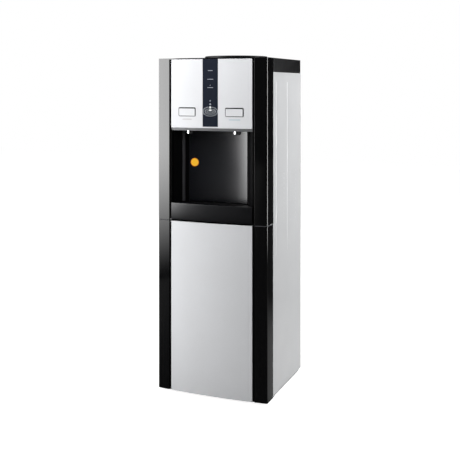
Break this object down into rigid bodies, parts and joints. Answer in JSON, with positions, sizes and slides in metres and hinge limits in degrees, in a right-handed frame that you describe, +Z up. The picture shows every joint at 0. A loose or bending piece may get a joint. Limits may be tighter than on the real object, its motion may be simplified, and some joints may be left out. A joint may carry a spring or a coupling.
{
  "type": "water dispenser",
  "caption": "Free-standing water dispenser with a bottle seat on top, hot and cold push-button taps over a recess with a drip tray, and a storage cabinet with a door below.",
  "frame": {"origin": "on the floor under the middle of the outer box", "axes": "+Z up, the front faces -Y, +X to the right of someone looking at the front"},
  "size_m": [0.334, 0.3142, 0.968],
  "materials": {
    "gloss_black": "high gloss black moulding",
    "satin_black": "satin black moulding",
    "silver_panel": "satin silver paint",
    "trim_grey": "satin grey paint",
    "pale_steel": "pale grey powder coat",
    "zinc_sheet": "zinc-plated sheet",
    "chrome": "polished plating",
    "stainless": "brushed stainless",
    "white_plastic": "satin white moulding",
    "signal_yellow": "plain yellow film",
    "foam": "pale foam",
    "aluminium": "as extruded",
    "mica_heater": "dull metal band",
    "silicone": "translucent white",
    "rubber": "matt black",
    "board_green": "circuit board",
    "switch_red": "gloss red",
    "switch_green": "gloss green",
    "spring_steel": "bright wire"
  },
  "bodies": {
    "cabinet": {"base_pan": "zinc_sheet", "foot_front_left": "rubber", "foot_front_right": "rubber", "foot_rear_left": "rubber", "foot_rear_right": "rubber", "left_side_panel": "pale_steel", "right_side_panel": "pale_steel", "rear_panel": "zinc_sheet", "mid_deck": "zinc_sheet", "tank_shelf": "zinc_sheet", "storage_liner": "white_plastic", "top_cover": "satin_black", "bottle_seat": "satin_black", "bottle_probe": "white_plastic", "upper_front_frame": "gloss_black", "control_panel": "silver_panel", "display_strip": "gloss_black", "head_trim": "trim_grey", "hot_tap_body": "white_plastic", "cold_tap_body": "white_plastic", "hot_valve_spring": "spring_steel", "cold_valve_spring": "spring_steel", "hot_nozzle": "chrome", "cold_nozzle": "chrome", "recess_liner": "satin_black", "splash_panel": "gloss_black", "yellow_disc": "signal_yellow", "upper_hinge": "zinc_sheet", "lower_hinge": "zinc_sheet", "door_magnet": "rubber", "cold_tank": "stainless", "cold_tank_lid": "white_plastic", "tank_foam": "foam", "cold_block": "aluminium", "heat_sink": "aluminium", "fan_frame": "satin_black", "hot_tank": "stainless", "band_heater": "mica_heater", "hot_hose": "silicone", "cold_hose": "silicone", "feed_hose": "silicone", "drain_hose": "silicone", "drain_cap": "rubber", "power_supply": "board_green", "switch_housing": "satin_black", "cord_gland": "rubber"},
    "door": {"door_frame": "gloss_black", "door_panel": "silver_panel", "door_liner": "white_plastic"},
    "tray": {"drip_tray": "gloss_black", "drip_grille": "satin_black"},
    "hot_push": {"hot_button": "silver_panel"},
    "hot_lever": {"hot_tap_lever": "white_plastic"},
    "hot_valve": {"hot_valve_stem": "white_plastic"},
    "cold_push": {"cold_button": "silver_panel"},
    "cold_lever": {"cold_tap_lever": "white_plastic"},
    "cold_valve": {"cold_valve_stem": "white_plastic"},
    "fan": {"fan_rotor": "satin_black"},
    "heating_rocker": {"heating_switch": "switch_red"},
    "cooling_rocker": {"cooling_switch": "switch_green"}
  },
  "joints": [
    {"name": "door_swing", "type": "hinge", "parent": "cabinet", "child": "door", "pos_m": [0.161, -0.10652, 0.25], "axis": [0, 0, 1], "range_deg": [0, 105]},
    {"name": "tray_pull", "type": "slide", "parent": "cabinet", "child": "tray", "axis": [0, -1, 0], "range_m": [0, 0.06]},
    {"name": "hot_button_push", "type": "slide", "parent": "cabinet", "child": "hot_push", "axis": [0, 1, 0], "range_m": [0, 0.004], "stiffness_N_per_m": 400},
    {"name": "hot_lever_turn", "type": "hinge", "parent": "cabinet", "child": "hot_lever", "pos_m": [-0.0725, -0.14053, 0.798], "axis": [-1, 0, 0], "range_deg": [0, 15]},
    {"name": "hot_valve_press", "type": "slide", "parent": "cabinet", "child": "hot_valve", "axis": [0, 0, -1], "range_m": [0, 0.0037], "deforming": ["hot_valve_spring"]},
    {"name": "cold_button_push", "type": "slide", "parent": "cabinet", "child": "cold_push", "axis": [0, 1, 0], "range_m": [0, 0.004], "stiffness_N_per_m": 400},
    {"name": "cold_lever_turn", "type": "hinge", "parent": "cabinet", "child": "cold_lever", "pos_m": [0.0725, -0.14053, 0.798], "axis": [-1, 0, 0], "range_deg": [0, 15]},
    {"name": "cold_valve_press", "type": "slide", "parent": "cabinet", "child": "cold_valve", "axis": [0, 0, -1], "range_m": [0, 0.0037], "deforming": ["cold_valve_spring"]},
    {"name": "fan_spin", "type": "hinge", "parent": "cabinet", "child": "fan", "pos_m": [0, 0.11148, 0.8], "axis": [0, 1, 0], "continuous": true},
    {"name": "heating_rock", "type": "hinge", "parent": "cabinet", "child": "heating_rocker", "pos_m": [0.076, 0.13748, 0.6], "axis": [1, 0, 0], "range_deg": [0, 18]},
    {"name": "cooling_rock", "type": "hinge", "parent": "cabinet", "child": "cooling_rocker", "pos_m": [0.094, 0.13748, 0.6], "axis": [1, 0, 0], "range_deg": [0, 18]}
  ],
  "couplings": [
    {"joint": "hot_lever_turn", "follows": "hot_button_push", "rad_per_m": 65},
    {"joint": "hot_valve_press", "follows": "hot_button_push", "ratio": 0.9},
    {"joint": "cold_lever_turn", "follows": "cold_button_push", "rad_per_m": 65},
    {"joint": "cold_valve_press", "follows": "cold_button_push", "ratio": 0.9}
  ]
}
